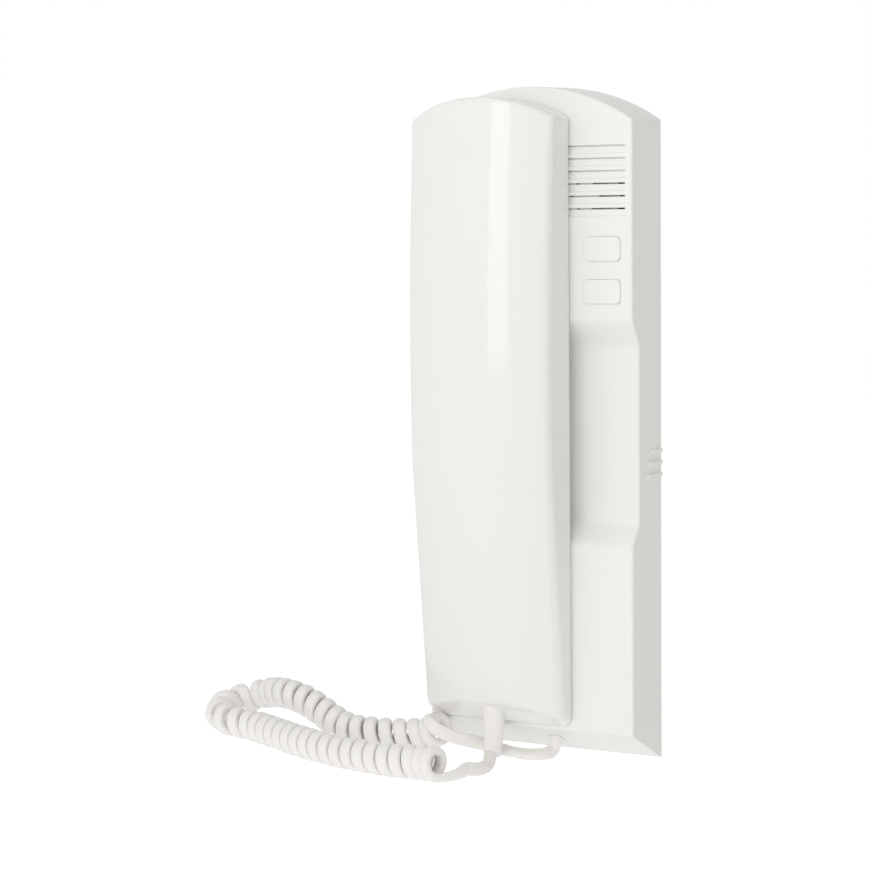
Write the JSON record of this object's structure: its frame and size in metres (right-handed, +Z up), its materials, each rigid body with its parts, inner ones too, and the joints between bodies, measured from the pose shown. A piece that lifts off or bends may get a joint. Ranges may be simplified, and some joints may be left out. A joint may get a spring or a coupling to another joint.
{
  "type": "audio intercom handset",
  "caption": "Wall-mounted audio intercom with a corded handset hung on an arched base, push-buttons and a louvred speaker grille.",
  "frame": {"origin": "midway between the two wall screw holes, on the wall plate's back face", "axes": "+X to the viewer's right, +Y into the wall, +Z up"},
  "size_m": [0.16, 0.0693, 0.2162],
  "materials": {
    "handset_white": "satin moulded plastic",
    "base_white": "fine matt moulded plastic",
    "plate_white": "matt moulded plastic",
    "button_white": "satin moulded plastic",
    "cord_white": "smooth soft plastic",
    "board_green": "solder mask",
    "terminal_black": "matt",
    "speaker_white": "paper cone and plastic rim",
    "speaker_black": "matt",
    "rubber_black": "matt",
    "steel": "zinc plated",
    "weight_steel": "plain steel"
  },
  "bodies": {
    "base": {"wall_plate": "plate_white", "base_cover": "base_white", "circuit_board": "board_green", "board_screws": "steel", "terminal_block": "terminal_black", "terminal_screws": "steel", "tact_switches": "terminal_black", "hook_switch": "terminal_black", "hook_spring": "steel", "call_speaker": "speaker_white", "speaker_retainer": "plate_white", "retainer_screws": "steel", "base_grommet": "cord_white", "cord_lead_base": "cord_white", "curly_coil": "cord_white", "cord_lead_handset": "cord_white"},
    "plunger": {"hook_plunger": "plate_white"},
    "upper_button": {"button_upper": "button_white"},
    "lower_button": {"button_lower": "button_white"},
    "handset": {"handset_front_shell": "handset_white", "handset_rear_cover": "handset_white", "handset_screws": "steel", "earpiece_speaker": "speaker_black", "earpiece_gasket": "rubber_black", "microphone": "steel", "microphone_boot": "rubber_black", "handset_weight": "weight_steel", "cord_boot": "cord_white"}
  },
  "joints": [
    {"name": "handset_lift", "type": "slide", "parent": "base", "child": "handset", "axis": [0, -0.8572, 0.515], "range_m": [0, 0.06], "deforming": ["cord_lead_handset", "curly_coil"]},
    {"name": "hook_plunger_slide", "type": "slide", "parent": "base", "child": "plunger", "axis": [0, -1, 0], "range_m": [0, 0.003], "deforming": ["hook_spring"]},
    {"name": "button_upper_press", "type": "slide", "parent": "base", "child": "upper_button", "axis": [0, 1, 0], "range_m": [0, 0.0005], "stiffness_N_per_m": 800, "springref_m": -0.0005},
    {"name": "button_lower_press", "type": "slide", "parent": "base", "child": "lower_button", "axis": [0, 1, 0], "range_m": [0, 0.0005], "stiffness_N_per_m": 800, "springref_m": -0.0005}
  ],
  "couplings": [
    {"joint": "hook_plunger_slide", "follows": "handset_lift", "ratio": 0.05}
  ]
}
